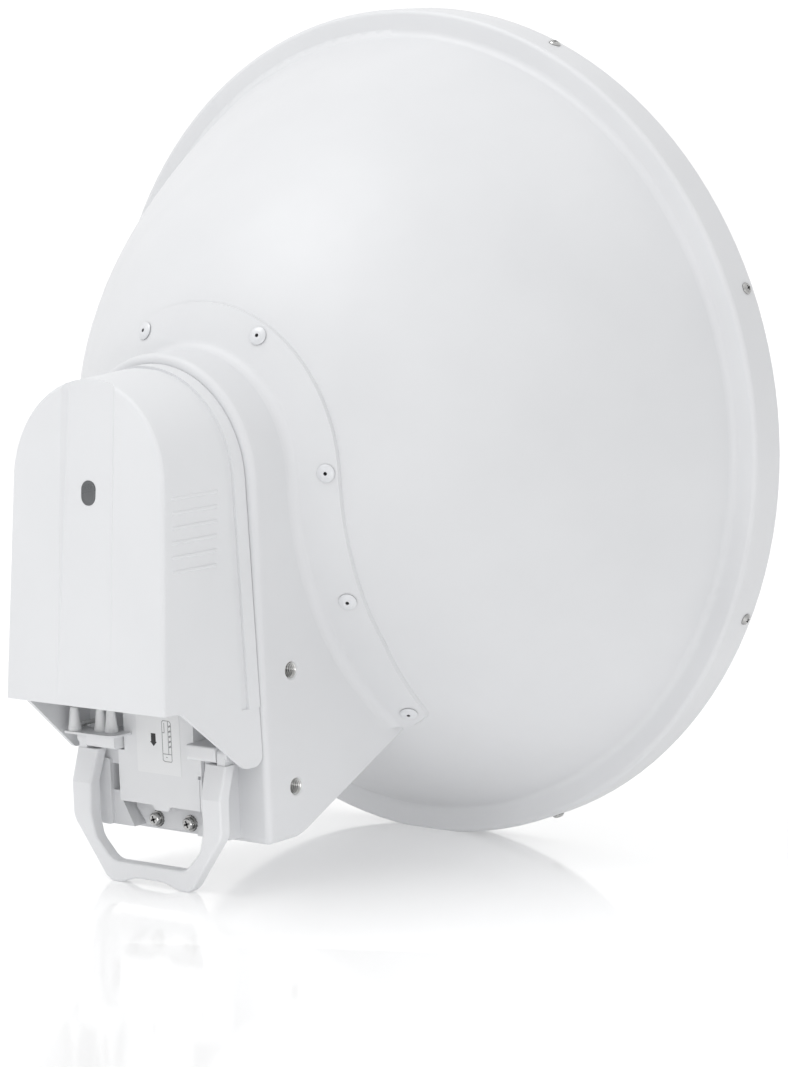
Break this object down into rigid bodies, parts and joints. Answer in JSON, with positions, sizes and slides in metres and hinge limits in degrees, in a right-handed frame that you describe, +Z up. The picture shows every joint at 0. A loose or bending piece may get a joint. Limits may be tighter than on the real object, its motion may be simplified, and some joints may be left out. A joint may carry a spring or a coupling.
{
  "type": "outdoor wireless bridge",
  "caption": "Deep dish antenna with a riveted rear housing, a radio under an arched slide-off cover, a hinged bail handle and side bracket holes.",
  "frame": {"origin": "centre between the bracket holes in the two sides of the rear housing, in the middle plane of the dish", "axes": "+Z up, the beam leaves along -Y, the rear cover faces +Y, +X points left seen from the front of the dish towards the rear"},
  "size_m": [0.6479, 0.428, 0.648],
  "materials": {
    "white_powder_coat": "smooth white powder coat, satin",
    "white_cast_aluminium": "cast, white powder coat, satin",
    "white_plastic": "fine moulded texture",
    "handle_plastic": "fine moulded texture",
    "radome_plastic": "satin",
    "seal_rubber": "matt",
    "stainless": "stainless, satin",
    "bare_aluminium": "cast and machined",
    "radio_plastic": "fine moulded texture",
    "dielectric": "waxy",
    "boot_silicone": "translucent white silicone",
    "nickel_plate": "nickel plated",
    "lead_jacket": "smooth white jacket",
    "label_film": "printed film",
    "badge_grey": "satin grey",
    "board": "solder mask",
    "thermal_pad": "soft",
    "socket_shell": "plated shell",
    "button_plastic": "smooth",
    "light_pipe": "clear",
    "antenna_puck": "ceramic puck"
  },
  "bodies": {
    "antenna": {"angled_couplers": "nickel_plate", "antenna_lead_gps": "lead_jacket", "carrier_screws": "stainless", "circuit_board": "board", "coax_connectors": "nickel_plate", "connector_boots": "boot_silicone", "dielectric_cone": "dielectric", "dish_reflector": "white_powder_coat", "ethernet_sockets": "socket_shell", "feed_lead_a": "lead_jacket", "feed_lead_b": "lead_jacket", "feed_seal": "seal_rubber", "feed_transducer": "bare_aluminium", "feed_tube": "bare_aluminium", "flange_screws": "stainless", "front_radome": "radome_plastic", "gps_antenna": "antenna_puck", "ground_screws": "stainless", "handle_pins": "stainless", "hinge_block_left": "white_plastic", "hinge_block_right": "white_plastic", "housing_rivets": "stainless", "label_plate": "label_film", "light_pipe": "light_pipe", "radio_base": "bare_aluminium", "radio_carrier": "white_plastic", "radio_lead_a": "lead_jacket", "radio_lead_b": "lead_jacket", "radio_lead_gps": "lead_jacket", "radio_lid": "radio_plastic", "radio_screws": "stainless", "radio_seal": "seal_rubber", "radome_seal": "seal_rubber", "rear_housing": "white_cast_aluminium", "rim_screws": "stainless", "shield_can": "bare_aluminium", "sub_reflector": "bare_aluminium", "thermal_pad": "thermal_pad", "thread_inserts": "stainless", "toothed_washers": "stainless", "transducer_screws": "stainless"},
    "cover": {"radio_cover": "white_plastic", "cover_badge": "badge_grey"},
    "bail": {"handle": "handle_plastic"},
    "reset_key": {"reset_button": "button_plastic"}
  },
  "joints": [
    {"name": "cover_slide", "type": "slide", "parent": "antenna", "child": "cover", "axis": [0, 0, 1], "range_m": [0, 0.25]},
    {"name": "bail_swing", "type": "hinge", "parent": "antenna", "child": "bail", "pos_m": [0, 0.0525, -0.012], "axis": [1, 0, 0], "range_deg": [0, 75]},
    {"name": "reset_press", "type": "slide", "parent": "antenna", "child": "reset_key", "axis": [0, 0, 1], "range_m": [0, 0.0007], "stiffness_N_per_m": 800}
  ]
}
